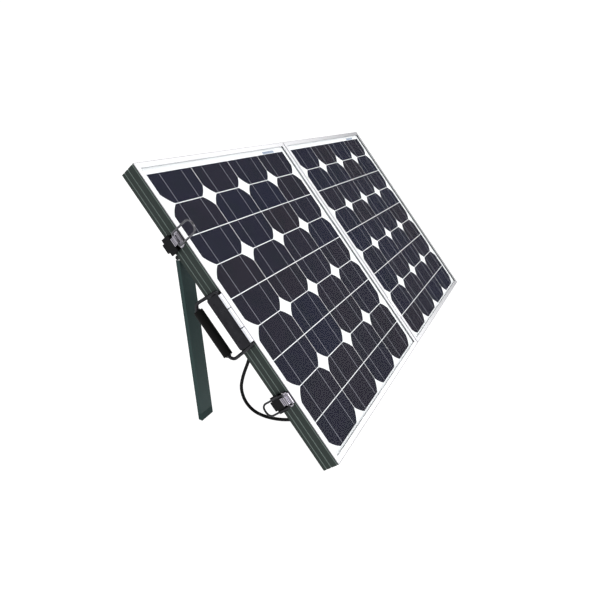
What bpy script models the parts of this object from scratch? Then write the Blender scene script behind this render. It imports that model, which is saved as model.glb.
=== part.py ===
"""Folding solar suitcase kit: two framed panels hinged like a case and propped on two rear legs.

Every piece is modelled in the frame of the panel that carries it: x runs across the panel, y up
its slope and z out of the glass, with the origin at the outer bottom back corner of the frame.
An empty tilts the panels to the slope at which the legs hold them.
"""

import math

import bmesh
import bpy
from mathutils import Matrix, Vector

MM = 0.001
CLEAR = 0.3 * MM  # gap kept between pieces that rest on each other
X_AXIS, Y_AXIS, Z_AXIS = Vector((1, 0, 0)), Vector((0, 1, 0)), Vector((0, 0, 1))

# Driving dimensions
TILT = math.radians(45)  # slope of the open panels above the ground
PANEL_W = 546 * MM
PANEL_H = 616 * MM
FRAME_D = 35 * MM
SEAM = 4.5 * MM  # between the two frames when open
FITTINGS_Y = 305 * MM  # height of the handle, which the latches lie evenly about
LATCH_SPREAD = 164 * MM  # from the handle's middle to each latch
LATCHES = {"upper": FITTINGS_Y + LATCH_SPREAD, "lower": FITTINGS_Y - LATCH_SPREAD}

# Frame section
WALL = 2.2 * MM
LIP_W = 10.5 * MM
LIP_T = 1.4 * MM
SHELF_W = 10 * MM
SHELF_TOP = 28.9 * MM
SHELF_T = 1.4 * MM
FLANGE_W = 25 * MM
FLANGE_T = 1.8 * MM
GROOVES = (31 * MM, 17.5 * MM, 7 * MM)  # heights of the grooves along the outer wall
GROOVE_HALF = 1.3 * MM
GROOVE_D = 0.9 * MM

# Laminate behind the lip
GLASS_TOP = FRAME_D - LIP_T - CLEAR
GLASS_T = 3 * MM
CELLS_TOP = GLASS_TOP - GLASS_T - CLEAR
CELLS_T = 0.8 * MM
BACK_OF_LAMINATE = CELLS_TOP - CELLS_T
PANE_INSET = WALL + CLEAR

# Panel hinges: the axis lies just in front of the lips, so that the glass sides fold together
HINGE_X = PANEL_W + SEAM / 2
HINGE_Z = FRAME_D + 0.6 * MM
HINGE_YS = (110 * MM, PANEL_H - 110 * MM)
HINGE_LEN = 60 * MM
HINGE_KNUCKLE_R = 2 * MM
HINGE_PIN_R = 0.75 * MM
HINGE_LEAF_T = 1.2 * MM
HINGE_LEAF_LOW = 12 * MM
HINGE_LEAF_OFF = 0.75 * MM  # from the hinge axis to the near face of a leaf
HINGE_LEAF_TOP = HINGE_Z - HINGE_KNUCKLE_R - 0.4 * MM

# Legs
LEG_INSET = 3 * MM  # from the frame's outer wall
LEG_W = 35.5 * MM
LEG_T = 8 * MM
LEG_WALL = 1.8 * MM
LEG_PIVOT_Y = 447.5 * MM
LEG_PIVOT_Z = -4.5 * MM
LEG_OPEN = math.radians(34.1)
LEG_SHOULDER = 4.5 * MM  # from the pivot to where the leg has its full width
LEG_FOOT_H = 14 * MM
LEG_BARREL_R = 4 * MM
LEG_BOLT_R = 1.6 * MM
BRACKET_T = 2 * MM
BRACKET_H = 36 * MM
BRACKET_KNUCKLE = 10.5 * MM

# Latches
LATCH_PLATE_T = 1.2 * MM
LATCH_PIN_R = 1.2 * MM
LEVER_AXIS = Vector((-4.5 * MM, 0, 32 * MM))
WIRE_AXIS = Vector((-9.4 * MM, 0, 26 * MM))
WIRE_R = 1.9 * MM
WIRE_REACH = 51 * MM
WIRE_HALF = 12.3 * MM
WIRE_BEND = 10 * MM
WIRE_LEAN = math.radians(5)  # how far a wire that points forward leans away from the frame
LEVER_HALF = 7.5 * MM

# Handle
HANDLE_PLATE_HALF = 52.3 * MM
HANDLE_PLATE_T = 1.6 * MM
BARREL_X = -6.6 * MM
BARREL_Z = 34 * MM  # near the plane in which the closed panels meet
BARREL_R = 4.4 * MM
BARREL_ENDS = (-49 * MM, -20.5 * MM, 18.5 * MM, 47 * MM)  # of the three, from the middle
BARREL_GAP = 0.8 * MM
BAIL_R = 3.2 * MM
BAIL_HALF = 54 * MM  # at the barrels
BAIL_FOOT_HALF = 58.6 * MM  # at the grip
BAIL_REACH = 59.2 * MM
BAIL_BENDS = (5.5 * MM, 11 * MM, 11 * MM, 5.5 * MM)
GRIP_R = 8.8 * MM
GRIP_HALF = 47 * MM
COLLAR_R = 5.2 * MM
COLLAR_LEN = 2 * MM

# Electrical pieces on the backs of the panels
BOX_X = 78 * MM
BOX_SIZE = (80 * MM, 76 * MM, 21 * MM)
JUNCTION_Y = 256 * MM
CONTROLLER_SIZE = (130 * MM, 105 * MM, 24 * MM)
CONTROLLER_Y = 84 * MM
LID_T = 2.7 * MM
LEAD_Z = 16 * MM
GLAND_LEN = 18 * MM
CABLE_R = 3.2 * MM

COLOURS = {  # base colour, roughness, metallic
    "anodised_dark": ((0.045, 0.06, 0.055), 0.42, 0.75),
    "cell_sheet": ((0.02, 0.022, 0.04), 0.3, 0.0),
    "glass": ((0.6, 0.65, 0.68), 0.06, 0.0),
    "black_plastic": ((0.012, 0.012, 0.013), 0.45, 0.0),
    "rubber": ((0.01, 0.01, 0.01), 0.8, 0.0),
    "chrome": ((0.75, 0.75, 0.77), 0.15, 1.0),
    "zinc": ((0.5, 0.5, 0.5), 0.35, 1.0),
}


def fresh_collection(name):
    collection = bpy.data.collections.new(name)
    bpy.context.scene.collection.children.link(collection)
    return collection


for old in list(bpy.data.objects):
    bpy.data.objects.remove(old, do_unlink=True)
PARTS = fresh_collection("solar_suitcase_kit")
TOOLS = fresh_collection("cutters_and_guides")


def make_materials():
    """One Principled material for each finish."""
    made = {}
    for name, (colour, roughness, metallic) in COLOURS.items():
        material = bpy.data.materials.new(name)
        material.use_nodes = True
        shader = material.node_tree.nodes["Principled BSDF"]
        shader.inputs["Base Color"].default_value = (*colour, 1)
        shader.inputs["Roughness"].default_value = roughness
        shader.inputs["Metallic"].default_value = metallic
        made[name] = material
    return made


MATERIALS = make_materials()


# Building blocks


def empty(name, parent=None, location=(0, 0, 0)):
    """A frame for pieces to hang on."""
    obj = bpy.data.objects.new(name, None)
    obj.empty_display_size = 0.02
    obj.parent = parent
    obj.location = location
    PARTS.objects.link(obj)
    return obj


def add(name, mesh, finish, parent, location=(0, 0, 0)):
    """A finished piece: a mesh under its parent, with its own material."""
    mesh.name = name
    mesh.shade_smooth()
    mesh.set_sharp_from_angle(angle=math.radians(35))
    obj = bpy.data.objects.new(name, mesh)
    obj.parent = parent
    obj.location = location
    mesh.materials.append(MATERIALS[finish])
    PARTS.objects.link(obj)
    return obj


def to_mesh(bm):
    """Close a bmesh into a mesh with its faces pointing out."""
    bmesh.ops.remove_doubles(bm, verts=bm.verts, dist=1e-6)
    bmesh.ops.recalc_face_normals(bm, faces=bm.faces)
    mesh = bpy.data.meshes.new("piece")
    bm.to_mesh(mesh)
    bm.free()
    return mesh


def box(low, high):
    """A block between two corners."""
    low, high = Vector(low), Vector(high)
    bm = bmesh.new()
    bmesh.ops.create_cube(bm, size=1)
    bmesh.ops.scale(bm, vec=high - low, verts=bm.verts)
    bmesh.ops.translate(bm, vec=(low + high) / 2, verts=bm.verts)
    return to_mesh(bm)


def rod(start, end, radius, end_radius=None, sides=20):
    """A cylinder or cone from one point to another."""
    start, end = Vector(start), Vector(end)
    way = end - start
    turn = Z_AXIS.rotation_difference(way).to_matrix().to_4x4()
    bm = bmesh.new()
    bmesh.ops.create_cone(
        bm,
        cap_ends=True,
        segments=sides,
        radius1=radius,
        radius2=radius if end_radius is None else end_radius,
        depth=way.length,
        matrix=Matrix.Translation((start + end) / 2) @ turn,
    )
    return to_mesh(bm)


def curve_mesh(curve):
    """The closed mesh of a curve, with its caps welded on."""
    obj = bpy.data.objects.new("curve", curve)
    TOOLS.objects.link(obj)
    graph = bpy.context.evaluated_depsgraph_get()
    mesh = bpy.data.meshes.new_from_object(obj.evaluated_get(graph))
    bpy.data.objects.remove(obj, do_unlink=True)
    bm = bmesh.new()
    bm.from_mesh(mesh)
    return to_mesh(bm)


def plate(outline, low, high, across=Z_AXIS):
    """A flat outline given thickness along x, y or z.

    The outline's points are (y, z), (x, z) or (x, y), whichever two the thickness leaves.
    """
    curve = bpy.data.curves.new("outline", "CURVE")
    curve.dimensions = "2D"
    curve.fill_mode = "BOTH"
    curve.extrude = (high - low) / 2
    spline = curve.splines.new("POLY")
    spline.points.add(len(outline) - 1)
    for point, (a, b) in zip(spline.points, outline, strict=True):
        point.co = (a, b, 0, 1)
    spline.use_cyclic_u = True
    mesh = curve_mesh(curve)
    for vertex in mesh.vertices:
        a, b, t = vertex.co
        t += (low + high) / 2
        if across is X_AXIS:
            vertex.co = (t, a, b)
        elif across is Y_AXIS:
            vertex.co = (a, t, b)
        else:
            vertex.co = (a, b, t)
    bm = bmesh.new()
    bm.from_mesh(mesh)
    return to_mesh(bm)


def arc(centre, radius, start, end, steps):
    """Points along an arc, its angles in degrees."""
    angles = [math.radians(start + (end - start) * k / steps) for k in range(steps + 1)]
    return [(centre[0] + radius * math.cos(a), centre[1] + radius * math.sin(a)) for a in angles]


def rounded(corners, radii, steps=5):
    """A path through corners, each turned with its own radius; the two ends stay as they are."""
    path = [Vector(corners[0])]
    for k in range(1, len(corners) - 1):
        before, here, after = (Vector(corners[k + d]) for d in (-1, 0, 1))
        into, out = (before - here).normalized(), (after - here).normalized()
        half = into.angle(out) / 2
        back = radii[k - 1] / math.tan(half)
        centre = here + (into + out).normalized() * radii[k - 1] / math.sin(half)
        first, last = here + into * back - centre, here + out * back - centre
        sweep = first.angle(last)
        for n in range(steps + 1):
            share = n / steps
            turned = first * math.sin((1 - share) * sweep) + last * math.sin(share * sweep)
            path.append(centre + turned / math.sin(sweep))
    path.append(Vector(corners[-1]))
    return path


def wire(path, radius, resolution=2):
    """A bent wire, bar or cable along a path."""
    curve = bpy.data.curves.new("wire", "CURVE")
    curve.dimensions = "3D"
    curve.bevel_depth = radius
    curve.bevel_resolution = resolution
    curve.use_fill_caps = True
    spline = curve.splines.new("POLY")
    spline.points.add(len(path) - 1)
    for point, place in zip(spline.points, path, strict=True):
        point.co = (*place, 1)
    return curve_mesh(curve)


def smooth_route(points, per_span):
    """Catmull-Rom curve through hand-chosen points."""
    knots = [Vector(p) for p in points]
    knots = [2 * knots[0] - knots[1], *knots, 2 * knots[-1] - knots[-2]]
    route = []
    for a, b, c, d in zip(knots, knots[1:], knots[2:], knots[3:]):
        for n in range(per_span):
            t = n / per_span
            route.append(
                0.5 * (2 * b + (c - a) * t + (2 * a - 5 * b + 4 * c - d) * t**2)
                + 0.5 * (3 * b - a - 3 * c + d) * t**3
            )
    route.append(knots[-2])
    return route


def apply_tools(piece, tools, operation):
    """Join meshes to a piece, or cut them out of it."""
    for n, mesh in enumerate(tools):
        tool = bpy.data.objects.new(f"{piece.name}_{operation.lower()}_{n}", mesh)
        tool.parent = piece.parent
        tool.location = piece.location
        tool.hide_render = True
        tool.display_type = "WIRE"
        TOOLS.objects.link(tool)
        boolean = piece.modifiers.new(tool.name, "BOOLEAN")
        boolean.operation = operation
        boolean.object = tool
        boolean.solver = "EXACT"
    return piece


def join(piece, *tools):
    return apply_tools(piece, tools, "UNION")


def cut(piece, *tools):
    return apply_tools(piece, tools, "DIFFERENCE")


def bevel(piece, width, segments=2):
    """Round the piece's sharp edges."""
    modifier = piece.modifiers.new("rounded_edges", "BEVEL")
    modifier.width = width
    modifier.segments = segments
    modifier.limit_method = "ANGLE"
    modifier.angle_limit = math.radians(50)
    return piece


# Frame, glass and cells


def rail_section():
    """Outline of a frame extrusion: inset from the outer wall, height above the back."""
    outline = [(0, FRAME_D), (LIP_W, FRAME_D), (LIP_W, FRAME_D - LIP_T), (WALL, FRAME_D - LIP_T)]
    outline += [(WALL, SHELF_TOP), (SHELF_W, SHELF_TOP), (SHELF_W, SHELF_TOP - SHELF_T)]
    outline += [(WALL, SHELF_TOP - SHELF_T), (WALL, FLANGE_T), (FLANGE_W, FLANGE_T)]
    outline += [(FLANGE_W, 0), (0, 0)]
    for height in reversed(GROOVES):
        outline += [(0, height - GROOVE_HALF), (GROOVE_D, height), (0, height + GROOVE_HALF)]
    return outline


def rail(name, parent, length, place, turn):
    """A frame rail, mitred at both ends, whose outer wall lies along its own y axis."""
    mesh = plate(rail_section(), -length / 2, length / 2, across=Y_AXIS)
    for vertex in mesh.vertices:
        mitred = length / 2 - vertex.co.x - CLEAR * 0.7
        vertex.co.y = math.copysign(mitred, vertex.co.y)
    obj = add(name, mesh, "anodised_dark", parent, place)
    obj.rotation_euler.z = math.radians(turn)
    return obj


def corner_key(name, parent, corner, x_sign, y_sign):
    """An L-shaped key that joins two rails inside a corner of the frame."""
    off, reach, thick = WALL + CLEAR, 32 * MM, 3 * MM
    shape = [(off, off), (reach, off), (reach, off + thick), (off + thick, off + thick)]
    shape += [(off + thick, reach), (off, reach)]
    outline = [(corner[0] + x_sign * x, corner[1] + y_sign * y) for x, y in shape]
    mesh = plate(outline, FLANGE_T + CLEAR, SHELF_TOP - SHELF_T - 4 * MM)
    add(name, mesh, "zinc", parent)


def panel(side, parent, left):
    """One framed panel: rails, corner keys, glass and the sheet of cells, from x = left."""
    right, mid_x = left + PANEL_W, left + PANEL_W / 2
    rail(f"{side}_rail_left", parent, PANEL_H, (left, PANEL_H / 2, 0), 0)
    rail(f"{side}_rail_right", parent, PANEL_H, (right, PANEL_H / 2, 0), 180)
    rail(f"{side}_rail_bottom", parent, PANEL_W, (mid_x, 0, 0), 90)
    rail(f"{side}_rail_top", parent, PANEL_W, (mid_x, PANEL_H, 0), -90)
    for row, y, y_sign in (("bottom", 0, 1), ("top", PANEL_H, -1)):
        for end, x, x_sign in (("left", left, 1), ("right", right, -1)):
            corner_key(f"{side}_corner_key_{row}_{end}", parent, (x, y), x_sign, y_sign)
    low, high = (left + PANE_INSET, PANE_INSET), (right - PANE_INSET, PANEL_H - PANE_INSET)
    glass = box((*low, GLASS_TOP - GLASS_T), (*high, GLASS_TOP))
    add(f"{side}_glass", glass, "glass", parent)
    cells = box((*low, BACK_OF_LAMINATE), (*high, CELLS_TOP))
    add(f"{side}_cell_sheet", cells, "cell_sheet", parent)


# Hinges between the panels


def hinge_leaf(name, parent, axis, side, spans):
    """A leaf on the facing wall of a frame, with knuckles over the given stretches of y.

    The axis is a point of the hinge axis in the parent's frame; side is -1 for the left leaf
    and 1 for the right one.
    """
    x, y, z = axis
    near = x + side * HINGE_LEAF_OFF
    far = near + side * HINGE_LEAF_T
    low_x, high_x = min(near, far), max(near, far)
    low, top = z - HINGE_Z + HINGE_LEAF_LOW, z - HINGE_Z + HINGE_LEAF_TOP
    half = HINGE_LEN / 2
    obj = add(name, box((low_x, y - half, low), (high_x, y + half, top)), "zinc", parent)
    for start, end in spans:
        tongue = box((low_x, y + start, top - MM), (high_x, y + end, z))
        knuckle = rod((x, y + start, z), (x, y + end, z), HINGE_KNUCKLE_R)
        join(obj, tongue, knuckle)
    bore = rod((x, y - half - MM, z), (x, y + half + MM, z), HINGE_PIN_R + CLEAR, sides=12)
    cut(obj, bore)


def panel_hinges(left_parent, right_parent):
    """Two butt hinges along the seam; the right parent's own frame starts on their axis."""
    third, half = HINGE_LEN / 6, HINGE_LEN / 2
    outer = ((-half, -third - CLEAR), (third + CLEAR, half))
    middle = ((-third, third),)
    for name, y in zip(("lower", "upper"), HINGE_YS, strict=True):
        axis = Vector((HINGE_X, y, HINGE_Z))
        hinge_leaf(f"{name}_hinge_leaf_left", left_parent, axis, -1, outer)
        hinge_leaf(f"{name}_hinge_leaf_right", right_parent, Vector((0, y, 0)), 1, middle)
        pin = rod(axis - Y_AXIS * half, axis + Y_AXIS * half, HINGE_PIN_R, sides=12)
        add(f"{name}_hinge_pin", pin, "zinc", left_parent)


# Legs


def leg_bracket(name, parent, left):
    """The hinge bracket on the rear flange, with a knuckle at each side of the leg's own."""
    y, z = LEG_PIVOT_Y, LEG_PIVOT_Z
    back = -CLEAR
    start = y + 5.5 * MM
    body = box((left, start, back - BRACKET_T), (left + LEG_W, y + BRACKET_H, back))
    obj = add(name, body, "zinc", parent)
    for low in (left, left + LEG_W - BRACKET_KNUCKLE):
        high = low + BRACKET_KNUCKLE
        join(
            obj,
            box((low, y, back - BRACKET_T), (high, start + MM, back)),
            rod((low, y, z), (high, y, z), LEG_BARREL_R),
        )
    bore = rod((left - MM, y, z), (left + LEG_W + MM, y, z), LEG_BOLT_R + CLEAR, sides=14)
    cut(obj, bore)


def leg_end(height):
    """How far down the leg the ground lies, at a height across the leg's thickness."""
    c, s = math.cos(LEG_OPEN), math.sin(LEG_OPEN)
    slope_c, slope_s = math.cos(TILT), math.sin(TILT)
    to_ground = LEG_PIVOT_Y * slope_s + LEG_PIVOT_Z * slope_c
    fall = c * slope_s + s * slope_c
    rise = c * slope_c - s * slope_s
    return -(to_ground + height * rise) / fall


def leg(side, parent, left):
    """A channel leg and its foot, in the pivot's frame, with x from the leg's own left edge."""
    front, back = LEG_T / 2, -LEG_T / 2
    foot_top = leg_end(0) + LEG_FOOT_H
    section = [(0, front), (LEG_W, front), (LEG_W, back), (LEG_W - LEG_WALL, back)]
    section += [(LEG_W - LEG_WALL, front - LEG_WALL), (LEG_WALL, front - LEG_WALL)]
    section += [(LEG_WALL, back), (0, back)]
    outline = [(left + x, z) for x, z in section]
    body = plate(outline, foot_top, -LEG_SHOULDER, across=Y_AXIS)
    obj = add(f"{side}_leg", body, "anodised_dark", parent)
    low, high = left + BRACKET_KNUCKLE + 2 * CLEAR, left + LEG_W - BRACKET_KNUCKLE - 2 * CLEAR
    join(
        obj,
        box((low, -LEG_SHOULDER - MM, front - LEG_WALL), (high, 0, front)),
        rod((low, 0, 0), (high, 0, 0), LEG_BARREL_R),
    )
    cut(obj, rod((left, 0, 0), (left + LEG_W, 0, 0), LEG_BOLT_R + CLEAR, sides=14))
    top = foot_top - CLEAR
    sole = [(leg_end(back), back), (top, back), (top, front), (leg_end(front), front)]
    add(f"{side}_leg_foot", plate(sole, left, left + LEG_W, across=X_AXIS), "rubber", parent)


def leg_bolt(name, parent, left, outward):
    """The bolt through the leg's knuckles, its low round head on the outer side."""
    head_x, nut_x = (left, left + LEG_W) if outward < 0 else (left + LEG_W, left)
    y, z = LEG_PIVOT_Y, LEG_PIVOT_Z
    head = head_x + outward * CLEAR
    shank_end, tip = head + outward * 0.7 * MM, nut_x - outward * 9 * MM
    shank = rod((shank_end, y, z), (tip, y, z), LEG_BOLT_R, sides=14)
    obj = add(name, shank, "zinc", parent)
    join(obj, rod((head + outward * 1.4 * MM, y, z), (head, y, z), 2.4 * MM, 3.4 * MM))


def wing_nut(name, parent, inward):
    """A wing nut in the bolt's frame, which clamps the leg's knuckles from the inner side."""
    base, top = inward * CLEAR, inward * 7 * MM
    hub = rod((base, 0, 0), (top, 0, 0), 4.5 * MM, 3.4 * MM)
    obj = add(name, hub, "zinc", parent)
    for way in (-1, 1):
        outline = [(way * 2 * MM, inward * 2 * MM), (way * 11 * MM, inward * 5 * MM)]
        outline += [(way * 12 * MM, inward * 10 * MM), (way * 8 * MM, inward * 10.5 * MM)]
        outline += [(way * 2 * MM, inward * 6.4 * MM)]
        wing = plate([(x, y) for y, x in outline], -0.9 * MM, 0.9 * MM)
        join(obj, wing)
    far = inward * 12 * MM
    cut(obj, rod((-inward * MM, 0, 0), (far, 0, 0), LEG_BOLT_R + CLEAR, sides=14))


# Latches and catches


def latch_base(name, parent, y):
    """Pressed plate on the outer wall with two ears for the lever's pin."""
    outer, inner = -CLEAR - LATCH_PLATE_T, -CLEAR
    outline = [(y - 15 * MM, 4 * MM), (y + 15 * MM, 4 * MM), (y + 15 * MM, 26 * MM)]
    outline += [(y + 10.5 * MM, 34 * MM), (y - 10.5 * MM, 34 * MM), (y - 15 * MM, 26 * MM)]
    obj = add(name, plate(outline, outer, inner, across=X_AXIS), "chrome", parent)
    ear_r = 2.6 * MM
    ax, _, az = LEVER_AXIS
    ear = [(outer + 0.4 * MM, az - ear_r - MM), (ax, az - ear_r)]
    ear += arc((ax, az), ear_r, 250, 90, 8)
    ear += [(outer + 0.4 * MM, az + ear_r - MM)]
    for low, high in ((8 * MM, 9.6 * MM), (-9.6 * MM, -8 * MM)):
        join(obj, plate(ear, y + low, y + high, across=Y_AXIS))
    reach = 20 * MM
    bore = rod((ax, y - reach, az), (ax, y + reach, az), LATCH_PIN_R + CLEAR, sides=12)
    cut(obj, bore)


def latch_pin(name, parent, y):
    """The pin that the lever turns on."""
    ax, _, az = LEVER_AXIS
    half = 10 * MM
    add(name, rod((ax, y - half, az), (ax, y + half, az), LATCH_PIN_R, sides=12), "zinc", parent)


def latch_lever(name, parent):
    """Pressed lever with ribs across it, in the frame of its pin."""
    front, tail, top, under = 2.6 * MM, -17.7 * MM, -2.8 * MM, 2.6 * MM
    outline = [(under, -1.5 * MM), (under, tail), (top, tail)]
    for height in (-15 * MM, -12 * MM, -9.6 * MM):
        outline += [(top, height - 0.8 * MM), (top + 0.9 * MM, height), (top, height + 0.8 * MM)]
    outline += [(top, -2 * MM)] + arc((0, 0), front, 200, 0, 10)
    body = plate(outline, -LEVER_HALF, LEVER_HALF, across=Y_AXIS)
    obj = add(name, body, "chrome", parent)
    to_wire = WIRE_AXIS - LEVER_AXIS
    half = Y_AXIS * LEVER_HALF
    boss = rod(to_wire - half, to_wire + half, 3.1 * MM)
    tang = box((0.9 * MM, -6 * MM, -30 * MM), (under, 6 * MM, tail + MM))
    join(obj, boss, tang)
    wide = Y_AXIS * (LEVER_HALF + MM)
    cut(
        obj,
        rod(-wide, wide, LATCH_PIN_R + CLEAR, sides=12),
        rod(to_wire - wide, to_wire + wide, WIRE_R + CLEAR, sides=12),
    )


def thumb_tab(name, parent):
    """Moulded thumb piece on the lever's tail: two wings and a tab past the frame's back."""
    wing, tab = 16.5 * MM, 9 * MM
    top, step, end = -18 * MM, -35 * MM, -40 * MM
    outline = [(-wing, top), (-wing, step), (-tab, step), (-tab, end)]
    outline += [(tab, end), (tab, step), (wing, step), (wing, top)]
    body = plate(outline, -2.8 * MM, 0.6 * MM, across=X_AXIS)
    bevel(add(name, body, "black_plastic", parent), 0.5 * MM)


def latch_wire(name, parent):
    """The draw wire, in the frame of its pivot, pointing to the back of the panel."""
    stub, arm = LEVER_HALF - 2.5 * MM, WIRE_HALF
    corners = [(0, -stub, 0), (0, -arm, 0), (0, -arm, -WIRE_REACH)]
    corners += [(0, arm, -WIRE_REACH), (0, arm, 0), (0, stub, 0)]
    path = rounded(corners, (2.1 * MM, WIRE_BEND, WIRE_BEND, 2.1 * MM), steps=6)
    add(name, wire(path, WIRE_R), "chrome", parent)


def catch(name, parent, x, y):
    """Strike plate on the right panel's outer wall, hooked outward past the frame's back."""
    z0 = -HINGE_Z
    near, far, lip = x + CLEAR, x + CLEAR + LATCH_PLATE_T, x + 5.6 * MM
    outline = [(near, z0 + 22 * MM), (far, z0 + 22 * MM), (far, z0 - 2.2 * MM)]
    outline += [(lip - LATCH_PLATE_T, z0 - 2.2 * MM), (lip, z0 - 2.8 * MM), (lip, z0 - 6 * MM)]
    outline += [(lip - LATCH_PLATE_T, z0 - 6 * MM), (lip - LATCH_PLATE_T, z0 - 3.5 * MM)]
    outline += [(near, z0 - 3.5 * MM)]
    body = plate(outline, y - 9 * MM, y + 9 * MM, across=Y_AXIS)
    bevel(add(name, body, "chrome", parent), 0.25 * MM, 1)


# Handle


def handle_plate(name, parent):
    """Plate over the frame's outer wall, its front edge rolled into three barrels."""
    low, high = FITTINGS_Y - HANDLE_PLATE_HALF, FITTINGS_Y + HANDLE_PLATE_HALF
    outer, inner = -CLEAR - HANDLE_PLATE_T, -CLEAR
    corner = 4 * MM
    outline = rounded(
        [(high, BARREL_Z), (high, -MM), (low, -MM), (low, BARREL_Z)], (corner, corner)
    )
    obj = add(name, plate(outline, outer, inner, across=X_AXIS), "chrome", parent)
    for near, far in zip(BARREL_ENDS, BARREL_ENDS[1:]):
        start, end = FITTINGS_Y + near + BARREL_GAP / 2, FITTINGS_Y + far - BARREL_GAP / 2
        barrel = rod((BARREL_X, start, BARREL_Z), (BARREL_X, end, BARREL_Z), BARREL_R)
        roll = box((BARREL_X, start, BARREL_Z - BARREL_R), (outer + 0.4 * MM, end, BARREL_Z))
        join(obj, roll, barrel)
    reach = HANDLE_PLATE_HALF + 5 * MM
    start, end = FITTINGS_Y - reach, FITTINGS_Y + reach
    cut(obj, rod((BARREL_X, start, BARREL_Z), (BARREL_X, end, BARREL_Z), BAIL_R + CLEAR))


def handle_bail(parent):
    """The bail and its grip, in the frame of the barrel, hanging behind the panel."""
    stub = BARREL_ENDS[-1] - 14 * MM
    corners = [(0, -stub, 0), (0, -BAIL_HALF, 0), (0, -BAIL_FOOT_HALF, -BAIL_REACH)]
    corners += [(0, BAIL_FOOT_HALF, -BAIL_REACH), (0, BAIL_HALF, 0), (0, stub, 0)]
    path = rounded(corners, BAIL_BENDS)
    bail = add("handle_bail", wire(path, BAIL_R, 3), "chrome", parent)
    start, end = Vector((0, -GRIP_HALF, -BAIL_REACH)), Vector((0, GRIP_HALF, -BAIL_REACH))
    for at, way in ((start, -Y_AXIS), (end, Y_AXIS)):
        join(bail, rod(at + way * CLEAR, at + way * (CLEAR + COLLAR_LEN), COLLAR_R))
    grip = bevel(add("handle_grip", rod(start, end, GRIP_R, sides=24), "rubber", parent), MM)
    cut(grip, rod(start - Y_AXIS * MM, end + Y_AXIS * MM, BAIL_R + CLEAR, sides=16))


# Electrical pieces


def closed_box(name, lid_name, parent, left, middle_y, size):
    """A shallow case fixed to the back of the laminate, and the lid that closes it."""
    width, height, depth = size
    low_y, high_y = middle_y - height / 2, middle_y + height / 2
    top = BACK_OF_LAMINATE - CLEAR
    low = top - depth
    wall = 2 * MM
    obj = add(name, box((left, low_y, low), (left + width, high_y, top)), "black_plastic", parent)
    inside = box(
        (left + wall, low_y + wall, low - MM),
        (left + width - wall, high_y - wall, top - wall),
    )
    cut(obj, inside)
    under = low - CLEAR
    cover = box((left, low_y, under - LID_T), (left + width, high_y, under))
    bevel(add(lid_name, cover, "black_plastic", parent), 0.8 * MM)


def gland(name, parent, face_x, y):
    """A cable gland: a hexagonal nut and a domed cap with the cable's bore."""
    nut_start = face_x - CLEAR
    nut_end, cap_end = nut_start - 7 * MM, nut_start - GLAND_LEN + CLEAR
    nut = rod((nut_start, y, LEAD_Z), (nut_end, y, LEAD_Z), 8 * MM, sides=6)
    obj = add(name, nut, "black_plastic", parent)
    join(obj, rod((nut_end + MM, y, LEAD_Z), (cap_end, y, LEAD_Z), 6.8 * MM, 4.8 * MM))


def cable(parent):
    """The lead that hangs in a loop from the junction box to the charge controller."""
    start_x = BOX_X - GLAND_LEN - CLEAR
    route = [
        (start_x, JUNCTION_Y, LEAD_Z),
        (start_x - 8 * MM, JUNCTION_Y, 15 * MM),
        (47.5 * MM, 251.8 * MM, 4 * MM),
        (43.5 * MM, 243 * MM, -14 * MM),
        (43 * MM, 227 * MM, -38 * MM),
        (43 * MM, 209 * MM, -68 * MM),
        (43 * MM, 191 * MM, -88.5 * MM),
        (43 * MM, 167.5 * MM, -98 * MM),
        (43 * MM, 144.5 * MM, -95 * MM),
        (43 * MM, 125.5 * MM, -81.5 * MM),
        (43 * MM, 109 * MM, -60 * MM),
        (43 * MM, 97.5 * MM, -37 * MM),
        (43.5 * MM, 90 * MM, -13.5 * MM),
        (47.5 * MM, 85.8 * MM, 5 * MM),
        (start_x - 8 * MM, CONTROLLER_Y, 15 * MM),
        (start_x, CONTROLLER_Y, LEAD_Z),
    ]
    add("cable", wire(smooth_route(route, 4), CABLE_R), "rubber", parent)


def stand_on_ground(stand):
    """Put the origin at the middle of the footprint, on the ground."""
    bpy.context.view_layer.update()
    graph = bpy.context.evaluated_depsgraph_get()
    corners = [
        obj.matrix_world @ Vector(corner)
        for obj in PARTS.objects
        if obj.type == "MESH" and obj.name != "cable"
        for corner in obj.evaluated_get(graph).bound_box
    ]
    for axis in (0, 1):
        values = [corner[axis] for corner in corners]
        stand.location[axis] -= (min(values) + max(values)) / 2


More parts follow.
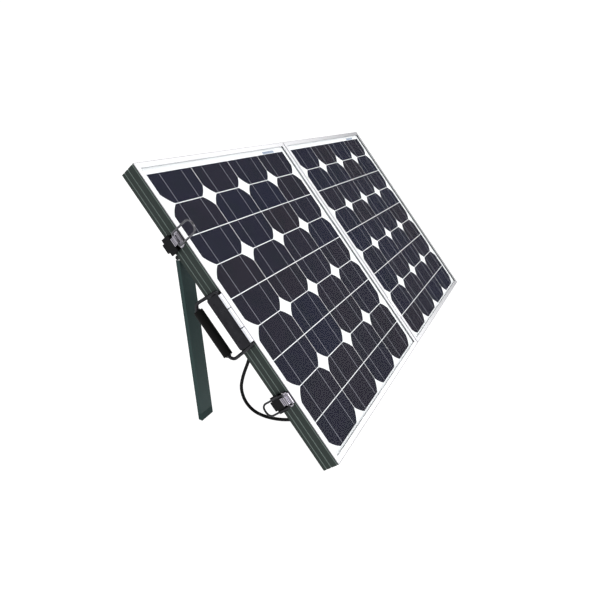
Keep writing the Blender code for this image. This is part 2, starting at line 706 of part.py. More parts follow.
def build():
    """The whole kit, open and standing."""
    stand = empty("stand")
    stand.rotation_euler.x = TILT
    left = empty("left_panel", stand)
    right = empty("right_panel_axis", stand, (HINGE_X, 0, HINGE_Z))
    right_base = empty("right_panel_base", right, (-HINGE_X, 0, -HINGE_Z))
    right_x = PANEL_W + SEAM
    panel("left", left, 0)
    panel("right", right_base, right_x)
    panel_hinges(left, right)

    for side, base, x, outward in (
        ("left", left, LEG_INSET, -1),
        ("right", right_base, right_x + PANEL_W - LEG_INSET - LEG_W, 1),
    ):
        leg_bracket(f"{side}_leg_bracket", base, x)
        leg_bolt(f"{side}_leg_bolt", base, x, outward)
        pivot = empty(f"{side}_leg_axis", base, (0, LEG_PIVOT_Y, LEG_PIVOT_Z))
        pivot.rotation_euler.x = LEG_OPEN
        leg(side, pivot, x)
        nut_x = x + LEG_W if outward < 0 else x
        nut = empty(f"{side}_wing_nut_axis", base, (nut_x, LEG_PIVOT_Y, LEG_PIVOT_Z))
        wing_nut(f"{side}_wing_nut", nut, -outward)

    for name, y in LATCHES.items():
        latch_base(f"{name}_latch_base", left, y)
        latch_pin(f"{name}_latch_pin", left, y)
        axis = empty(f"{name}_lever_axis", left, LEVER_AXIS + Y_AXIS * y)
        latch_lever(f"{name}_latch_lever", axis)
        thumb_tab(f"{name}_latch_thumb_tab", axis)
        wire_axis = empty(f"{name}_wire_axis", axis, WIRE_AXIS - LEVER_AXIS)
        if name == "upper":
            wire_axis.rotation_euler.y = math.pi - WIRE_LEAN
        latch_wire(f"{name}_latch_wire", wire_axis)
        catch(f"{name}_catch", right, SEAM / 2 + PANEL_W, y)

    handle_plate("handle_plate", left)
    handle_bail(empty("handle_axis", left, (BARREL_X, FITTINGS_Y, BARREL_Z)))

    closed_box("left_junction_box", "left_junction_lid", left, BOX_X, JUNCTION_Y, BOX_SIZE)
    closed_box("controller_case", "controller_cover", left, BOX_X, CONTROLLER_Y, CONTROLLER_SIZE)
    far_x = right_x + PANEL_W - BOX_X - BOX_SIZE[0]
    closed_box("right_junction_box", "right_junction_lid", right_base, far_x, JUNCTION_Y, BOX_SIZE)
    gland("junction_gland", left, BOX_X, JUNCTION_Y)
    gland("controller_gland", left, BOX_X, CONTROLLER_Y)
    cable(left)
    stand_on_ground(stand)


build()
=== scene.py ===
"""Looks of the folding solar suitcase kit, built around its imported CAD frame."""

import math
import random

import bmesh
import bpy
from mathutils import Matrix, Vector


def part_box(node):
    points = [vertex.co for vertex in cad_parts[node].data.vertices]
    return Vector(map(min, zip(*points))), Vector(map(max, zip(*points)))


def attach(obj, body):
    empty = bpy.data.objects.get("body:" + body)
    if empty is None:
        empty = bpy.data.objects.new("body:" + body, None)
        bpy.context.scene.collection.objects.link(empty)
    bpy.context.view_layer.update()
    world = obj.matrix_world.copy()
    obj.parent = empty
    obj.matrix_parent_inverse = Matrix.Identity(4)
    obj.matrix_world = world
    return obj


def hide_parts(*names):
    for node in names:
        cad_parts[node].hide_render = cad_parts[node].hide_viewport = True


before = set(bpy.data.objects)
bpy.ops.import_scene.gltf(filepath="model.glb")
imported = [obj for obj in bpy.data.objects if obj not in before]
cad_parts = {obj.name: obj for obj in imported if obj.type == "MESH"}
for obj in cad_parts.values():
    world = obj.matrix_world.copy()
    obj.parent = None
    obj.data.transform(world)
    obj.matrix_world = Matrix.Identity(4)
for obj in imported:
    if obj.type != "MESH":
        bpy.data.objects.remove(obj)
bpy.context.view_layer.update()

MM = 0.001

# The panels' own frame: x across, y up the slope, z out of the glass, from the left panel's
# outer bottom back corner.
TILT = math.radians(45)
PANEL_W, PANEL_H, FRAME_D = 546 * MM, 616 * MM, 35 * MM
RAIL_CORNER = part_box("left_rail_left")[0]
ORIGIN = RAIL_CORNER + Vector((0, FRAME_D * math.sin(TILT), 0))
PANEL = Matrix.Translation(ORIGIN) @ Matrix.Rotation(TILT, 4, "X")
RIGHT_PANEL_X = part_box("right_rail_left")[0].x - RAIL_CORNER.x
KIT_W = RIGHT_PANEL_X + PANEL_W
LEG_OPEN = math.radians(34.1)  # from a panel to its leg
LEG_TILT = TILT + LEG_OPEN

PANELS = (  # side, x of its left edge, seed of its cells' tones
    ("left", 0, 3),
    ("right", RIGHT_PANEL_X, 8),
)

# Cells behind the glass
COLUMNS, ROWS = 4, 9
CELL_W, CELL_H = 125.7 * MM, 62.8 * MM
COLUMN_PITCH, ROW_PITCH = 127 * MM, 64.5 * MM
FIRST_CELL_X = 18.2 * MM
CELLS_TOP_Y = 593 * MM
WAFER_R = 75 * MM  # a wafer's corners follow the round ingot that it was cut from
CORNER_STEPS = 6
FILM_Z = 30 * MM  # front of the white film that the cells lie on
CELL_Z = (FILM_Z + 0.04 * MM, FILM_Z + 0.14 * MM)
RIBBON_Z = (FILM_Z + 0.15 * MM, FILM_Z + 0.25 * MM)
RIBBON_W = 1.1 * MM
RIBBON_OFFSET = CELL_W / 4  # of a cell's two ribbons from its middle
RIBBON_INSET = 2 * MM  # from the ends of a column of cells
FINGER_PITCH = 2.1 * MM
FINGER_SHARE = 0.25  # of the pitch
FINGER_STRENGTH = 0.3  # of the fingers' colour over the silicon's

# The small blank plate in each panel's top margin, from the panel's left edge
BLANK_PLATE_X = (430 * MM, 484 * MM)
BLANK_PLATE_Y = (594.2 * MM, 600.2 * MM)

# Fittings, all in the panels' frame
FITTINGS_Y = 305 * MM  # the handle's middle, which the latches lie evenly about
LATCH_SPREAD = 164 * MM  # from the handle's middle to each latch
LATCH_YS = {"upper": FITTINGS_Y + LATCH_SPREAD, "lower": FITTINGS_Y - LATCH_SPREAD}
PLATE_FACE = 1.5 * MM  # of the latches' and catches' plates, out from the frame's wall
BOX_X = 78 * MM  # from a frame's outer wall to its junction box, or to the controller
BOX_W, CONTROLLER_W = 80 * MM, 130 * MM
BOX_Y, CONTROLLER_Y = 256 * MM, 84 * MM  # of their middles
LID_Z, COVER_Z = 4.9 * MM, 1.9 * MM  # backs of the boxes' lids and of the controller's cover

# Rivets and screws. A spread is the distance from the middle of a row.
HEAD_H = 0.9 * MM
THIN_RIVET_R, HANDLE_RIVET_R, BRACKET_RIVET_R, SCREW_R = 1.6 * MM, 2.2 * MM, 2.6 * MM, 2 * MM
OUT_LEFT, OUT_RIGHT, OUT_BACK = Vector((-1, 0, 0)), Vector((1, 0, 0)), Vector((0, 0, -1))
LATCH_RIVETS_Z, LATCH_RIVETS_SPREAD = 21 * MM, 12 * MM
CATCH_RIVETS_Z, CATCH_RIVETS_SPREAD = 14 * MM, 4.5 * MM
HANDLE_RIVETS_X, HANDLE_RIVETS_Z, HANDLE_RIVETS_SPREAD = -1.6 * MM, 8 * MM, 38 * MM
BRACKET_RIVETS_X = (11 * MM, 31 * MM)  # in from a frame's outer wall
BRACKET_RIVETS_Y, BRACKET_RIVETS_Z = 470 * MM, -2.3 * MM
SCREW_INSET = 6 * MM  # from the left and right ends of a lid
BOX_SCREWS_SPREAD, CONTROLLER_SCREWS_SPREAD = 32 * MM, 46 * MM

# The free lead between the junction box and the controller, in mm in the panels' frame
CABLE_R = 3.2 * MM
CABLE_SPANS = 4  # pieces of the curve between two points
CABLE_ROUTE = [
    (59.7, 256, 16),
    (51.7, 256, 15),
    (47.5, 251.8, 4),
    (43.5, 243, -14),
    (43, 227, -38),
    (43, 209, -68),
    (43, 191, -88.5),
    (43, 167.5, -98),
    (43, 144.5, -95),
    (43, 125.5, -81.5),
    (43, 109, -60),
    (43, 97.5, -37),
    (43.5, 90, -13.5),
    (47.5, 85.8, 5),
    (51.7, 84, 15),
    (59.7, 84, 16),
]

# Frame finish and painted light: where its zones lie, and how far from a line each is full and
# where it ends
GROOVES = (31 * MM, 17.5 * MM, 7 * MM)  # heights of the grooves along the outer walls
GROOVE_REACH = (0.5 * MM, 1.2 * MM)
FRAME_WALLS = {"X": (0, PANEL_W, RIGHT_PANEL_X, KIT_W), "Y": (0, PANEL_H)}
WALL_REACH = (6 * MM, 6.2 * MM)
KIT_EDGES = {"X": (0, KIT_W), "Y": (0, PANEL_H)}
EDGE_REACH = (0.8 * MM, 1.4 * MM)
SEAM_MIDDLE = (PANEL_W + RIGHT_PANEL_X) / 2
SEAM_REACH = (3.6 * MM, 3.8 * MM)
INNER_EDGE_Z = (33.3 * MM, 33.5 * MM)  # the lip's inner edge is bare above this
FRONT_Z = (34.3 * MM, 34.5 * MM)  # and everything is bare above this
# The bare front darkens with painted shade towards the right, between these two x
RIGHT_SHADE_FROM_TO = (400 * MM, 1090 * MM)

# Handle plate
BARREL_HIGHLIGHT_Z = (34.3 * MM, 34.7 * MM)  # the upper part of its rolled edge is painted bright above this, a painted highlight
BARREL_JOINTS = (284.5 * MM, 323.5 * MM)  # where the rolled edge is split, along the frame
# Painted shade at the joints of the rolled edge reaches this far
JOINT_SHADE_REACH = (0.7 * MM, 1.3 * MM)

# Camera, in metres and in the world's frame
CAMERA_PLACE = Vector((-1.2620, -0.4320, 0.6302))
CAMERA_LOOK = Vector((0.84755, 0.36200, -0.38810))
CAMERA_UP = Vector((0.31117, 0.25343, 0.91594))
CAMERA_LENS, CAMERA_SENSOR = 32.42, 36  # focal length and sensor width in mm
CAMERA_NEAR = 0.02

# Studio, in metres and watts
FLOOR_HALF = 30
FLOOR_DROP = 0.5 * MM  # below the feet
SKY_LEVELS = (1.05, 0.35)  # brightness near the ground and overhead
SKY_HEIGHTS = (0.3, 0.42)  # between which the one turns into the other
SOFTBOX_TARGET = Vector((0, 0, 0.2))
SOFTBOXES = (  # name, place, size, power
    ("key", (0.6, -3.2, 3.0), (2.6, 2.0), 120),
    ("top", (-0.6, 0.4, 3.6), (2.5, 2.5), 45),
)


def add_camera():
    """The scene's camera, which looks along CAMERA_LOOK."""
    data = bpy.data.cameras.new("camera")
    data.lens = CAMERA_LENS
    data.sensor_width = CAMERA_SENSOR
    data.clip_start = CAMERA_NEAR
    camera = bpy.data.objects.new("camera", data)
    bpy.context.scene.collection.objects.link(camera)
    look = CAMERA_LOOK.normalized()
    right = look.cross(CAMERA_UP).normalized()
    turn = Matrix((right, right.cross(look), -look)).transposed().to_4x4()
    camera.matrix_world = Matrix.Translation(CAMERA_PLACE) @ turn
    bpy.context.scene.camera = camera


# Shader building


def new_material(name):
    """A node material and its Principled shader."""
    material = bpy.data.materials.new(name)
    material.use_nodes = True
    return material, material.node_tree.nodes["Principled BSDF"]


def node(tree, kind, links=None, **settings):
    """A shader node; links maps an input's name or place to a socket or a plain value."""
    made = tree.nodes.new(kind)
    for key, value in settings.items():
        setattr(made, key, value)
    for key, value in (links or {}).items():
        if isinstance(value, bpy.types.NodeSocket):
            tree.links.new(value, made.inputs[key])
        else:
            made.inputs[key].default_value = value
    return made


def calc(tree, operation, a, b=0.0):
    return node(tree, "ShaderNodeMath", {0: a, 1: b}, operation=operation).outputs[0]


def mix_colours(tree, factor, a, b):
    """Colour a where the factor is 0, and b where it is 1."""
    # A Mix node's inputs 0, 6 and 7 are its factor and its two colours
    return node(tree, "ShaderNodeMix", {0: factor, 6: a, 7: b}, data_type="RGBA").outputs[2]


def panel_coordinates(tree, tilt=TILT):
    """Where a point lies in the panels' frame, for a mesh whose own frame is the world's."""
    here = node(tree, "ShaderNodeTexCoord").outputs["Object"]
    links = {"Vector": here, "Location": ORIGIN, "Rotation": (tilt, 0, 0)}
    return node(tree, "ShaderNodeMapping", links, vector_type="TEXTURE").outputs[0]


def noise(tree, vector, scale, detail=3.0, roughness=0.55):
    links = {"Vector": vector, "Scale": scale, "Detail": detail, "Roughness": roughness}
    return node(tree, "ShaderNodeTexNoise", links).outputs["Fac"]


def ramp(tree, value, low, high, from_low=0.0, from_high=1.0):
    """The value carried from one range to another, and held at its ends."""
    links = {0: value, 1: from_low, 2: from_high, 3: low, 4: high}
    return node(tree, "ShaderNodeMapRange", links).outputs[0]


def bump(tree, shader, height, distance, strength=1.0):
    links = {"Height": height, "Distance": distance, "Strength": strength}
    tree.links.new(node(tree, "ShaderNodeBump", links).outputs[0], shader.inputs["Normal"])


def set_values(shader, **values):
    for key, value in values.items():
        shader.inputs[key.replace("_", " ")].default_value = value


# Materials

# An extrusion's darkest and lightest colours, and that of its cloudy patches
DARK_WALL = ((0.008, 0.016, 0.013, 1), (0.020, 0.034, 0.028, 1), (0.024, 0.029, 0.030, 1))
LEG_WALL = ((0.008, 0.023, 0.022, 1), (0.019, 0.051, 0.049, 1), (0.021, 0.045, 0.045, 1))

# Painted highlight along the frame's grooves, standing in for their edges catching the light
GROOVE_HIGHLIGHT_COLOUR = (0.22, 0.27, 0.25, 1)
SEAM_PAINTED_LIGHT_COLOUR = (0.72, 0.72, 0.74, 1)  # painted light on the walls that face each other across the seam, which lie in the gap's shade
BARE = ((0.80, 0.80, 0.82, 1), (0.93, 0.93, 0.95, 1))
# Painted shade: the bare front's colour at the right
RIGHT_SHADE_BARE = (0.345, 0.345, 0.36, 1)
# Painted shade along the kit's outer edges of the bare front
EDGE_SHADE_COLOUR = (0.36, 0.35, 0.37, 1)

STREAK_STRETCH = 60  # length over width of an extrusion's streaks
DIE_LINE_DEPTH, SCRATCH_DEPTH = 0.15 * MM, 0.03 * MM
GROOVE_HIGHLIGHT_SHARE = 0.8  # share of the painted highlight colour in a groove's middle
GLASS_SHINE = 0.01  # share of the light that the anti-reflective front glass mirrors


def near_lines(tree, value, places, inner, outer):
    """1 within the inner distance of any of the places, falling to 0 at the outer one."""
    nearest = 0.0
    for place in places:
        off = calc(tree, "ABSOLUTE", calc(tree, "SUBTRACT", value, place))
        nearest = calc(tree, "MAXIMUM", nearest, ramp(tree, off, 1, 0, inner, outer))
    return nearest


def bare_zone(tree, axes):
    """1 on the bare metal of a frame: the whole front, and the inner edge of the lip."""
    height = axes.outputs["Z"]
    at_wall = 0.0
    for axis, places in FRAME_WALLS.items():
        near = near_lines(tree, axes.outputs[axis], places, *WALL_REACH)
        at_wall = calc(tree, "MAXIMUM", at_wall, near)
    inner_edge = calc(tree, "SUBTRACT", ramp(tree, height, 0, 1, *INNER_EDGE_Z), at_wall)
    front = ramp(tree, height, 0, 1, *FRONT_Z)
    return calc(tree, "MAXIMUM", front, inner_edge)


def bare_colour_with_painted_shade(tree, axes, streaks):
    bare = mix_colours(tree, streaks, *BARE)
    # painted shade: the bare front darkens towards the right
    right_shade = ramp(tree, axes.outputs["X"], 0, 1, *RIGHT_SHADE_FROM_TO)
    bare = mix_colours(tree, right_shade, bare, RIGHT_SHADE_BARE)
    # painted shade lines along the kit's outer edges
    for axis, places in KIT_EDGES.items():
        edge_shade = near_lines(tree, axes.outputs[axis], places, *EDGE_REACH)
        bare = mix_colours(tree, edge_shade, bare, EDGE_SHADE_COLOUR)
    return bare


def extruded_metal(name, along, tilt=TILT, lip=False, wall=DARK_WALL):
    """Anodised extrusion in the three colours of wall, with die lines along x or y.

    With lip it is a frame's: its grooves get a painted highlight, its walls at the seam painted
    light, its front bare with painted shade at the outer edges and towards the right.
    """
    material, shader = new_material(name)
    tree = material.node_tree
    across = STREAK_STRETCH
    stretch = (across, 1, across) if along == "y" else (1, across, across)
    place = panel_coordinates(tree, tilt)
    lines = node(tree, "ShaderNodeMapping", {"Vector": place, "Scale": stretch}).outputs[0]
    streaks = noise(tree, lines, 9.0, 4.0, 0.7)
    cloud = noise(tree, place, 7.0, 2.0)
    colour = mix_colours(tree, streaks, wall[0], wall[1])
    colour = mix_colours(tree, ramp(tree, cloud, 0, 0.35, 0.35, 0.75), colour, wall[2])
    rough = ramp(tree, streaks, 0.38, 0.52, 0.3, 0.7)
    metallic = 0.3
    if lip:
        axes = node(tree, "ShaderNodeSeparateXYZ", {0: place})
        # painted highlight lines along the grooves
        groove_highlight = near_lines(tree, axes.outputs["Z"], GROOVES, *GROOVE_REACH)
        groove_highlight = calc(tree, "MULTIPLY", groove_highlight, GROOVE_HIGHLIGHT_SHARE)
        colour = mix_colours(tree, groove_highlight, colour, GROOVE_HIGHLIGHT_COLOUR)
        # painted light on the walls at the seam, where the narrow gap is in shade
        seam_painted_light = near_lines(tree, axes.outputs["X"], [SEAM_MIDDLE], *SEAM_REACH)
        colour = mix_colours(tree, seam_painted_light, colour, SEAM_PAINTED_LIGHT_COLOUR)
        front = bare_zone(tree, axes)
        colour = mix_colours(tree, front, colour, bare_colour_with_painted_shade(tree, axes, streaks))
        rough = calc(tree, "ADD", rough, calc(tree, "MULTIPLY", front, -0.06))
        metallic = 0.2
    tree.links.new(colour, shader.inputs["Base Color"])
    tree.links.new(rough, shader.inputs["Roughness"])
    bump(tree, shader, streaks, DIE_LINE_DEPTH, 0.35)
    set_values(shader, Metallic=metallic, Specular_IOR_Level=0.3)
    return material


def plated_metal(name, low, high, roughness):
    """Plated or bare metal with faint clouding and fine scratches."""
    material, shader = new_material(name)
    tree = material.node_tree
    here = node(tree, "ShaderNodeTexCoord").outputs["Object"]
    cloud = noise(tree, here, 90.0, 4.0)
    fine = noise(tree, here, 900.0, 3.0)
    tree.links.new(mix_colours(tree, cloud, low, high), shader.inputs["Base Color"])
    rough = calc(tree, "ADD", ramp(tree, cloud, -0.05, 0.07, 0.3, 0.7), roughness)
    tree.links.new(rough, shader.inputs["Roughness"])
    bump(tree, shader, fine, SCRATCH_DEPTH, 0.3)
    set_values(shader, Metallic=1.0)
    return material


def handle_metal():
    """The handle's plate: near-black shiny finish; the upper part of its rolled front edge is
    painted bright as a painted highlight, with painted shade at the edge's joints.
    """
    material, shader = new_material("handle_plate_with_painted_highlight")
    tree = material.node_tree
    place = panel_coordinates(tree)
    axes = node(tree, "ShaderNodeSeparateXYZ", {0: place})
    cloud = noise(tree, place, 60.0, 4.0)
    dark = mix_colours(tree, cloud, (0.010, 0.010, 0.012, 1), (0.035, 0.035, 0.040, 1))
    bright = mix_colours(tree, cloud, (0.74, 0.75, 0.80, 1), (0.84, 0.85, 0.90, 1))
    # painted shade at the joints of the rolled edge
    joint_shade = near_lines(tree, axes.outputs["Y"], BARREL_JOINTS, *JOINT_SHADE_REACH)
    bright = mix_colours(tree, joint_shade, bright, (0.12, 0.12, 0.14, 1))
    # painted highlight on the upper part of the rolled edge
    rolled_highlight = ramp(tree, axes.outputs["Z"], 0, 1, *BARREL_HIGHLIGHT_Z)
    tree.links.new(mix_colours(tree, rolled_highlight, dark, bright), shader.inputs["Base Color"])
    tree.links.new(ramp(tree, cloud, 0.16, 0.30, 0.3, 0.7), shader.inputs["Roughness"])
    tree.links.new(ramp(tree, rolled_highlight, 1.0, 0.25), shader.inputs["Metallic"])
    bump(tree, shader, noise(tree, place, 500.0, 3.0), SCRATCH_DEPTH, 0.3)
    return material


def moulded(name, low, high, roughness, grain, grain_height):
    """Black plastic or rubber with a fine moulded grain."""
    material, shader = new_material(name)
    tree = material.node_tree
    here = node(tree, "ShaderNodeTexCoord").outputs["Object"]
    cloud = noise(tree, here, 35.0, 3.0)
    grains = noise(tree, here, grain, 2.0)
    tree.links.new(mix_colours(tree, cloud, low, high), shader.inputs["Base Color"])
    rough = calc(tree, "ADD", ramp(tree, grains, -0.06, 0.08, 0.3, 0.7), roughness)
    tree.links.new(rough, shader.inputs["Roughness"])
    bump(tree, shader, grains, grain_height, 0.6)
    set_values(shader, Specular_IOR_Level=0.08)
    return material


def white_sheet():
    """The white backing film of a panel, with a faint weave."""
    material, shader = new_material("backing_film")
    tree = material.node_tree
    place = panel_coordinates(tree)
    cloud = noise(tree, place, 6.0, 2.0)
    grain = noise(tree, place, 1500.0, 2.0)
    colour = mix_colours(tree, cloud, (0.83, 0.83, 0.85, 1), (0.92, 0.92, 0.94, 1))
    tree.links.new(colour, shader.inputs["Base Color"])
    bump(tree, shader, grain, 0.05 * MM, 0.3)
    set_values(shader, Roughness=0.55, Specular_IOR_Level=0.1)
    return material


def silicon():
    """Blue-black cells: tone varies cell by cell, with fine contact fingers across them."""
    material, shader = new_material("silicon_cells")
    tree = material.node_tree
    here = node(tree, "ShaderNodeTexCoord").outputs["Object"]
    tone = node(tree, "ShaderNodeAttribute", attribute_name="tone").outputs["Fac"]
    cloud = noise(tree, here, 22.0, 3.0)
    base = mix_colours(tree, tone, (0.013, 0.014, 0.028, 1), (0.019, 0.016, 0.023, 1))
    base = mix_colours(tree, ramp(tree, cloud, 0, 0.5, 0.45, 0.8), base, (0.010, 0.015, 0.018, 1))
    up = node(tree, "ShaderNodeSeparateXYZ", {0: here}).outputs["Y"]
    phase = calc(tree, "FRACT", calc(tree, "DIVIDE", up, FINGER_PITCH))
    finger = calc(tree, "LESS_THAN", phase, FINGER_SHARE)
    finger = calc(tree, "MULTIPLY", finger, FINGER_STRENGTH)
    base = mix_colours(tree, finger, base, (0.08, 0.08, 0.10, 1))
    tree.links.new(base, shader.inputs["Base Color"])
    tree.links.new(ramp(tree, cloud, 0.5, 0.7), shader.inputs["Roughness"])
    set_values(shader, Specular_IOR_Level=0.0)
    return material


def ribbon():
    """Tinned contact ribbon, slightly uneven where it was soldered."""
    material, shader = new_material("tinned_ribbon")
    tree = material.node_tree
    here = node(tree, "ShaderNodeTexCoord").outputs["Object"]
    solder = noise(tree, here, 160.0, 3.0)
    colour = mix_colours(tree, solder, (0.20, 0.20, 0.24, 1), (0.34, 0.34, 0.39, 1))
    tree.links.new(colour, shader.inputs["Base Color"])
    tree.links.new(ramp(tree, solder, 0.3, 0.5), shader.inputs["Roughness"])
    bump(tree, shader, solder, 0.05 * MM, 0.4)
    set_values(shader, Metallic=0.2, Specular_IOR_Level=0.1)
    return material


def clear_glass():
    """Front glass with an anti-reflective finish: clear, and its outside mirrors a little."""
    material, shader = new_material("front_glass")
    tree = material.node_tree
    tree.nodes.remove(shader)
    place = panel_coordinates(tree)
    ripple = noise(tree, place, 5.0, 2.0)
    clear = node(tree, "ShaderNodeBsdfTransparent", {"Color": (0.985, 0.992, 0.99, 1)})
    rough = ramp(tree, ripple, 0.03, 0.08)
    gloss = node(tree, "ShaderNodeBsdfGlossy", {"Color": (1, 1, 1, 1), "Roughness": rough})
    behind = node(tree, "ShaderNodeNewGeometry").outputs["Backfacing"]
    share = calc(tree, "MULTIPLY", calc(tree, "SUBTRACT", 1.0, behind), GLASS_SHINE)
    both = node(tree, "ShaderNodeMixShader", {0: share, 1: clear.outputs[0], 2: gloss.outputs[0]})
    tree.links.new(both.outputs[0], tree.nodes["Material Output"].inputs["Surface"])
    return material


def sticker():
    """A small blank marking plate, grey-blue with soft blotches."""
    material, shader = new_material("blank_plate")
    tree = material.node_tree
    here = node(tree, "ShaderNodeTexCoord").outputs["Object"]
    blotch = noise(tree, here, 140.0, 2.0)
    colour = mix_colours(tree, blotch, (0.16, 0.20, 0.30, 1), (0.40, 0.45, 0.55, 1))
    tree.links.new(colour, shader.inputs["Base Color"])
    set_values(shader, Roughness=0.5)
    return material


MATERIALS = {
    "rail_along_y": extruded_metal("anodised_rail_upright_with_painted_light", "y", lip=True),
    "rail_along_x": extruded_metal("anodised_rail_level_with_painted_light", "x", lip=True),
    "leg": extruded_metal("anodised_leg", "y", LEG_TILT, wall=LEG_WALL),
    "bright": plated_metal("bright_aluminium", (0.70, 0.70, 0.72, 1), (0.86, 0.86, 0.87, 1), 0.32),
    "zinc": plated_metal("zinc_plate", (0.62, 0.62, 0.62, 1), (0.82, 0.82, 0.80, 1), 0.3),
    "chrome": plated_metal("chrome_plate", (0.20, 0.19, 0.22, 1), (0.44, 0.42, 0.47, 1), 0.1),
    "steel_wire": plated_metal("steel_wire", (0.06, 0.06, 0.07, 1), (0.15, 0.15, 0.16, 1), 0.16),
    "dark_chrome": plated_metal(
        "dark_chrome", (0.012, 0.012, 0.014, 1), (0.045, 0.045, 0.050, 1), 0.16
    ),
    "handle_plate": handle_metal(),
    "plastic": moulded(
        "black_plastic", (0.004, 0.004, 0.005, 1), (0.010, 0.010, 0.011, 1), 0.4, 1100.0, 0.08 * MM
    ),
    "rubber": moulded(
        "black_rubber", (0.003, 0.003, 0.003, 1), (0.007, 0.007, 0.007, 1), 0.62, 700.0, 0.1 * MM
    ),
    "foot": moulded(
        "foot_plastic", (0.013, 0.029, 0.028, 1), (0.024, 0.048, 0.046, 1), 0.5, 800.0, 0.05 * MM
    ),
    "lead": moulded(
        "lead_jacket", (0.003, 0.003, 0.003, 1), (0.007, 0.007, 0.008, 1), 0.38, 900.0, 0.05 * MM
    ),
    "film": white_sheet(),
    "silicon": silicon(),
    "ribbon": ribbon(),
    "glass": clear_glass(),
    "sticker": sticker(),
}

FINISHES = (  # part of a CAD node's name, material; the first that fits is used
    ("_rail_left", "rail_along_y"),
    ("_rail_right", "rail_along_y"),
    ("_rail_top", "rail_along_x"),
    ("_rail_bottom", "rail_along_x"),
    ("corner_key", "bright"),
    ("_glass", "glass"),
    ("cell_sheet", "film"),
    ("leg_bracket", "leg"),
    ("leg_bolt", "dark_chrome"),
    ("leg_foot", "foot"),
    ("_leg", "leg"),
    ("wing_nut", "zinc"),
    ("hinge_leaf", "bright"),
    ("hinge_pin", "zinc"),
    ("latch_pin", "zinc"),
    ("thumb_tab", "plastic"),
    ("upper_latch_wire", "steel_wire"),
    ("lower_latch_wire", "dark_chrome"),
    ("latch", "chrome"),
    ("catch", "chrome"),
    ("handle_grip", "rubber"),
    ("handle_plate", "handle_plate"),
    ("handle", "dark_chrome"),
    ("junction", "plastic"),
    ("controller", "plastic"),
    ("cable", "lead"),
)


def paint_cad_nodes():
    """Give every CAD node the material of its finish."""
    for name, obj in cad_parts.items():
        finish = next(key for part, key in FINISHES if part in name)
        obj.data.materials.clear()
        obj.data.materials.append(MATERIALS[finish])


# Pieces

SHARP_ANGLE = math.radians(40)  # edges of smooth pieces stay sharp above this


def finish_mesh(bm, name, material, body, smooth=False):
    """Turn a bmesh in the panels' frame into a piece that rides on a body."""
    bmesh.ops.recalc_face_normals(bm, faces=bm.faces)
    mesh = bpy.data.meshes.new(name)
    bm.to_mesh(mesh)
    bm.free()
    if smooth:
        mesh.shade_smooth()
        mesh.set_sharp_from_angle(angle=SHARP_ANGLE)
    mesh.materials.append(MATERIALS[material])
    piece = bpy.data.objects.new(name, mesh)
    bpy.context.scene.collection.objects.link(piece)
    piece.matrix_world = PANEL
    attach(piece, body)
    return piece


def add_slab(bm, outline, low, high):
    """A flat outline of (x, y) points given thickness from low to high."""
    under = [bm.verts.new((x, y, low)) for x, y in outline]
    over = [bm.verts.new((x, y, high)) for x, y in outline]
    faces = [bm.faces.new(list(reversed(under))), bm.faces.new(over)]
    count = len(outline)
    for k in range(count):
        after = (k + 1) % count
        faces.append(bm.faces.new((under[k], under[after], over[after], over[k])))
    return faces


def rectangle(low_x, high_x, low_y, high_y):
    return [(low_x, low_y), (high_x, low_y), (high_x, high_y), (low_x, high_y)]


def half_cell(middle_x, flat_y, way):
    """Outline of half a wafer: a straight edge at flat_y and two cut corners on the other side.

    way is 1 where the wafer reaches up from the straight edge, and -1 where it reaches down.
    """
    shoulder = math.acos(CELL_W / 2 / WAFER_R)
    crown = math.asin(CELL_H / WAFER_R)
    right = [shoulder + (crown - shoulder) * k / CORNER_STEPS for k in range(CORNER_STEPS + 1)]
    angles = right + [math.pi - a for a in reversed(right)]
    curve = [(WAFER_R * math.cos(a), WAFER_R * math.sin(a)) for a in angles]
    outline = [(CELL_W / 2, 0), *curve, (-CELL_W / 2, 0)]
    return [(middle_x + x, flat_y + way * y) for x, y in outline]


def column_middles(left):
    """x of the middle of each column of cells in the panel whose left edge is given."""
    return [left + FIRST_CELL_X + CELL_W / 2 + k * COLUMN_PITCH for k in range(COLUMNS)]


def add_cells(side, left, seed):
    """The half cells of one panel. Their cut corners face down and up in turn, row by row."""
    chance = random.Random(seed)
    bm = bmesh.new()
    tone = bm.faces.layers.float.new("tone")
    for row in range(ROWS):
        top = CELLS_TOP_Y - row * ROW_PITCH
        cut_below = row % 2 == 0
        flat_y, way = (top, -1) if cut_below else (top - CELL_H, 1)
        for middle in column_middles(left):
            value = chance.random()
            for face in add_slab(bm, half_cell(middle, flat_y, way), *CELL_Z):
                face[tone] = value
    cells = finish_mesh(bm, f"{side}_cells", "silicon", f"{side}_panel")


def add_ribbons(side, left):
    """The contact ribbons of one panel, two down each column of cells."""
    bm = bmesh.new()
    bottom = CELLS_TOP_Y - (ROWS - 1) * ROW_PITCH - CELL_H
    for middle in column_middles(left):
        for way in (-1, 1):
            low_x = middle + way * RIBBON_OFFSET - RIBBON_W / 2
            ends = (bottom + RIBBON_INSET, CELLS_TOP_Y - RIBBON_INSET)
            add_slab(bm, rectangle(low_x, low_x + RIBBON_W, *ends), *RIBBON_Z)
    ribbons = finish_mesh(bm, f"{side}_contact_ribbons", "ribbon", f"{side}_panel")


def add_blank_plate(side, left):
    """A small blank plate behind the glass, in the top margin."""
    bm = bmesh.new()
    low_x, high_x = (left + x for x in BLANK_PLATE_X)
    add_slab(bm, rectangle(low_x, high_x, *BLANK_PLATE_Y), *CELL_Z)
    plate = finish_mesh(bm, f"{side}_blank_plate", "sticker", f"{side}_panel")


